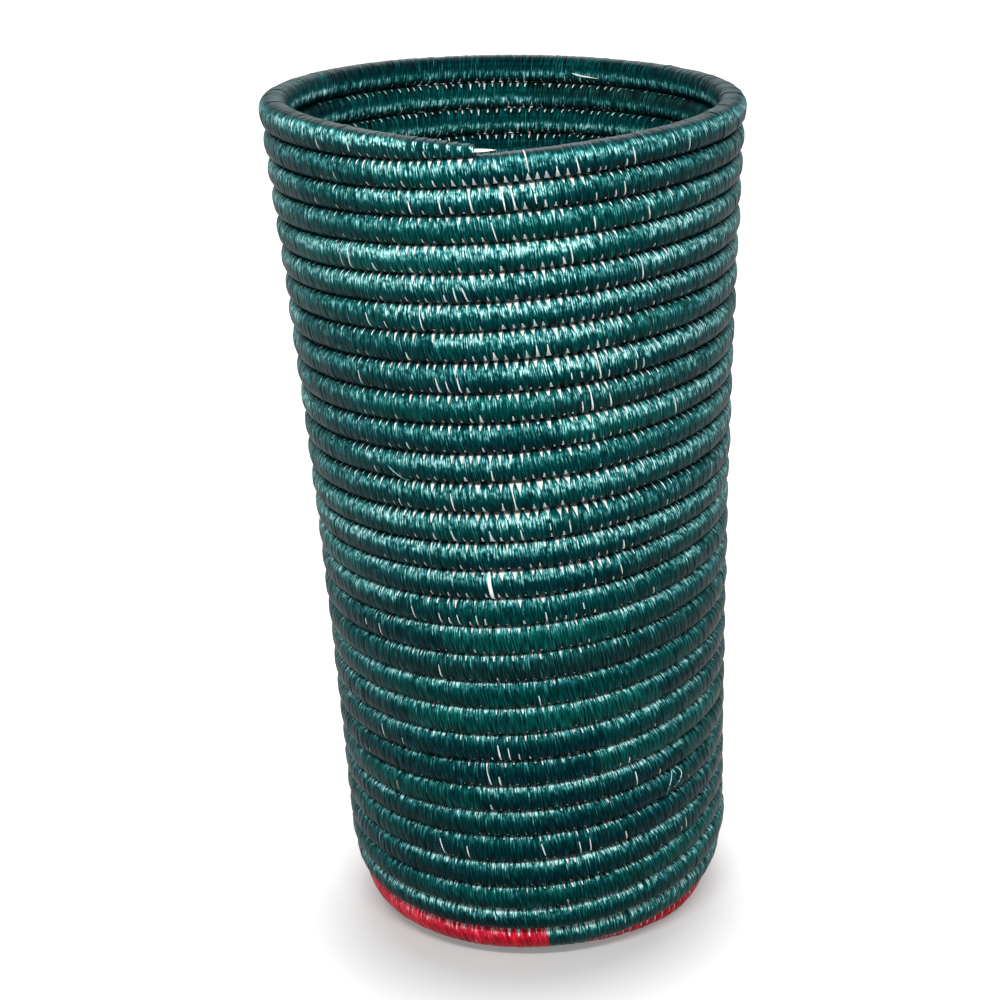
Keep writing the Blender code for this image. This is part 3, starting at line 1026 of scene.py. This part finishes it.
def swept(path, outwards, width, thickness):
    """A tube along a path. Its wide side faces outwards, and its width can change."""
    ahead = np.gradient(path, axis=0)
    ahead /= np.linalg.norm(ahead, axis=1)[:, None]
    side = np.cross(ahead, outwards)
    side /= np.linalg.norm(side, axis=1)[:, None]
    up = np.cross(side, ahead)
    turn = np.arange(TUBE_SIDES) * 2 * np.pi / TUBE_SIDES
    wide = (np.cos(turn) * width[:, None] / 2)[..., None] * side[:, None, :]
    thick = (np.sin(turn) * thickness[:, None] / 2)[..., None] * up[:, None, :]
    walked = np.concatenate([[0], np.cumsum(np.linalg.norm(np.diff(path, axis=0), axis=1))])
    across = np.append(np.cos(turn), 1)[None, :] * MM / 2 * width[:, None]
    return path[:, None, :] + wide + thick, across, MM * walked[:, None]


# %% A strand on the coil
STRAND_STEPS = 28
BLUNTNESS = 0.15
FULLNESS = 0.7


def on_coil(line):
    """World points for rows of (turn, degrees round the coil, millimetres over its surface)."""
    turns, angle = line[:, 0], np.radians(line[:, 1])
    reach = section_reach(turns, angle) + line[:, 2] / MM
    return place(turns, reach * np.cos(angle), reach * np.sin(angle))


def strand_on_coil(stops, width, thickness, torn=0.35):
    """A ribbon over the coil, thinner at both ends over the torn share of its length."""
    line = smooth_line(stops, STRAND_STEPS)
    path = on_coil(line)
    outwards = on_coil(line + [0, 0, 1.0]) - path
    share = np.linspace(0, 1, STRAND_STEPS)
    taper = np.clip(np.minimum(share, 1 - share) / torn, 0.0, 1.0) ** FULLNESS
    taper = taper * (1 - BLUNTNESS) + BLUNTNESS
    return swept(path, outwards, width * taper, thickness * np.sqrt(taper))


def strand_piece(name, tubes, material, *nodes, slot, tone=0.4, painted_sheen=0.4):
    """A piece made of strands. Without nodes it is trim that rides along with the basket."""
    mesh = closed_tubes(name, tubes, material)
    # A strand gets one even amount of painted highlight all over.
    for label, value in (("tone", tone), ("light", 0.5), ("painted_sheen", painted_sheen)):
        give_values(mesh, label, np.full(len(mesh.vertices), value))
    add_piece(name, mesh, *nodes, slot=slot)


# %% [markdown]
# ## The stitches over the thinned end
#
# The coil's end is thinned so that the rim closes almost level, and six stitches bind it to the
# row below. Each is one ribbon that goes over the thinned coil, from the row below on the
# outside to the row below on the inside. They lean a little, each in its own way, because they
# were pulled tight one by one.

# %% The stitches
STITCHES = 6
STITCH_START = 0.00255
STITCH_SPACING = 0.0034
STITCH_WIDTH = 0.0022
STITCH_THICKNESS = 0.00028
STITCH_LEAN = 0.0004
STITCH_REACH = 150
STITCH_RISE, STITCH_RISE_AT_ENDS = 0.1, 0.02

for number in range(STITCHES):
    back = STITCH_START + STITCH_SPACING * number
    middle = TIP - back / (2 * np.pi * coil_radius[-1])
    lean = chance.normal(0.0, STITCH_LEAN)
    stops = [
        (middle + lean * side, STITCH_REACH * side,
         STITCH_RISE if abs(side) < 0.9 else STITCH_RISE_AT_ENDS)
        for side in (1, 0.75, 0.4, 0, -0.4, -0.75, -1)
    ]
    tube = strand_on_coil(stops, STITCH_WIDTH, STITCH_THICKNESS, torn=0.25)
    name = f"tail_stitch_{number + 1}"
    strand_piece(name + "_strand", [tube], green_raffia, name, slot="green_raffia",
                 tone=chance.uniform(), painted_sheen=0.25)
print(STITCHES, "stitches, the last one", round(MM * back, 1), "mm back from the tip")

# %% [markdown]
# ## The foundation's end
#
# At the very tip the raffia stops and the foundation sticks out of it by a few millimetres, as
# a bundle of split stalks. One tapered stick would look like a peg, so four thin stalks of
# different lengths are used. They start well inside the coil and so are held by it.

# %% The stalks
SPLINT_OUT = 0.0065
SPLINT_IN = 0.0048
STALK_STEPS = 16
STALK_WIDTH = 0.0009
STALK_THICKNESS = 0.00065
STALK_TAPER, STALK_TIP = 0.45, 0.12
SPLAY = 0.2
STALKS = (
    # sideways, up, share of the splint's length
    (-0.0010, 0.0001, 0.8),
    (-0.0003, -0.0002, 1.0),
    (0.0003, 0.0002, 0.9),
    (0.0010, -0.0001, 0.7),
)

tip_middle = on_coil(np.array([[TIP, 0, 0], [TIP, 180, 0]])).mean(axis=0)
forward = np.array([np.cos(around_basket(TIP)), np.sin(around_basket(TIP)), 0])
outward = np.array([np.sin(around_basket(TIP)), -np.cos(around_basket(TIP)), 0])
up = np.array([0.0, 0.0, 1.0])
share = np.linspace(0, 1, STALK_STEPS)
taper = np.clip((1 - share) / STALK_TAPER, STALK_TIP, 1)
stalks = []
for sideways, height, reach in STALKS:
    forth = -SPLINT_IN + (SPLINT_OUT * reach + SPLINT_IN) * share
    path = tip_middle + np.outer(forth, forward)
    path += np.outer(sideways * (1 + SPLAY * share), outward) + np.outer(height * (1 - share), up)
    facing_up = np.tile(up, (STALK_STEPS, 1))
    stalks.append(swept(path, facing_up, STALK_WIDTH * taper, STALK_THICKNESS * np.sqrt(taper)))
strand_piece("foundation_end_stalks", stalks, foundation, "foundation_end", slot="pale_fibre")
print(len(stalks), "stalks, the longest", MM * SPLINT_OUT, "mm out of the wraps")

# %% [markdown]
# ## The start knot
#
# The coil's first end is bent round and pulled in to a small knot in the middle of the base.
# Only its strands show, twisted like a rope that is seen from its end. A knot modelled strand
# by strand would be hidden in a hole 4 mm wide, so a plug with five twisted bulges stands for it.

# %% The knot
KNOT_RADIUS = START_HOLE - 0.0003
KNOT_STRANDS = 5
KNOT_TWIST = 3.0
KNOT_NARROWING, KNOT_FLATNESS = 0.55, 8
GROOVE_DEPTH = 0.14
KNOT_STEPS, KNOT_SIDES = 25, 60

height = np.linspace(0, COIL_WIDTH, KNOT_STEPS)
turn = np.linspace(0, 2 * np.pi, KNOT_SIDES, endpoint=False)
edge = 2 * height / COIL_WIDTH - 1
knot_radius = KNOT_RADIUS * (1 - KNOT_NARROWING * edge**KNOT_FLATNESS)
twist = turn[None, :] + KNOT_TWIST * edge[:, None]
bulge = 1 - GROOVE_DEPTH * (0.5 - 0.5 * np.cos(KNOT_STRANDS * twist)) ** 2
ring = (knot_radius[:, None] * bulge)[..., None] * np.stack([np.cos(turn), np.sin(turn)], -1)
level = np.broadcast_to(height[:, None, None], (KNOT_STEPS, KNOT_SIDES, 1))
knot = np.concatenate([ring, level], axis=-1)
across = np.append(turn, 2 * np.pi)[None, :] * MM * KNOT_RADIUS
strand_piece("start_knot_swirl", [(knot, across, MM * height[:, None])], green_raffia,
             "start_knot", slot="green_raffia", painted_sheen=0.2)
print(f"the knot is {2 * MM * KNOT_RADIUS:.1f} mm wide")

# %% [markdown]
# ## Loose ends and threads
#
# A few strands came loose with use, and they tell that the basket is made by hand: a loop and
# an end low at the right, a hair at the left, and pale threads of foundation near the rim and
# half-way up. Their lines are written out stop by stop, since no rule would put them there.

# %% The loose strands
STRAY_STRANDS = (
    # name, foundation coloured, how much painted highlight, width, thickness, stops
    ("loop_at_right", False, 1.6, 0.0005, 0.00022,
     ((5.1168, 8, -0.2), (5.1200, 28, 0.6), (5.1226, 55, 1.1), (5.1199, 78, 1.0),
      (5.1164, 92, 0.8), (5.1150, 106, 0.1))),
    ("end_at_right", False, 1.6, 0.0004, 0.0002,
     ((5.1166, 10, -0.2), (5.1154, 30, 0.4), (5.1136, 48, 0.5), (5.1099, 70, 0.6),
      (5.1070, 96, 0.6), (5.1055, 118, 0.6))),
    ("hair_at_left", False, 1.8, 0.00045, 0.0002,
     ((17.8955, 84, 0.0), (17.8975, 93, 0.35), (17.9010, 106, 0.5), (17.9055, 124, 0.5),
      (17.9095, 146, 0.4), (17.9120, 160, 0.1))),
    ("cream_strand", True, 0.0, 0.0013, 0.0003,
     ((13.9670, 8, -0.2), (13.9672, 35, 0.08), (13.9678, 70, 0.10), (13.9687, 105, 0.10),
      (13.9697, 140, 0.08), (13.9704, 168, -0.2))),
    ("thread_near_tail", True, 0.0, 0.0004, 0.0002,
     ((28.0056, -12, 0.05), (28.0060, 15, 0.12), (28.0066, 45, 0.12), (28.0073, 75, 0.12),
      (28.0080, 100, 0.1))),
    ("strand_inside_back", True, 0.0, 0.0006, 0.0003,
     ((28.4365, 262, 0.2), (28.4310, 256, 0.5), (28.4240, 252, 0.5), (28.4140, 248, 0.3))),
)
for name, is_pale, painted_sheen, width, thickness, stops in STRAY_STRANDS:
    tube = strand_on_coil(stops, width, thickness)
    strand_piece(name, [tube], foundation if is_pale else green_raffia,
                 slot="pale_fibre" if is_pale else "green_raffia", painted_sheen=painted_sheen)
print(len(STRAY_STRANDS), "loose strands")
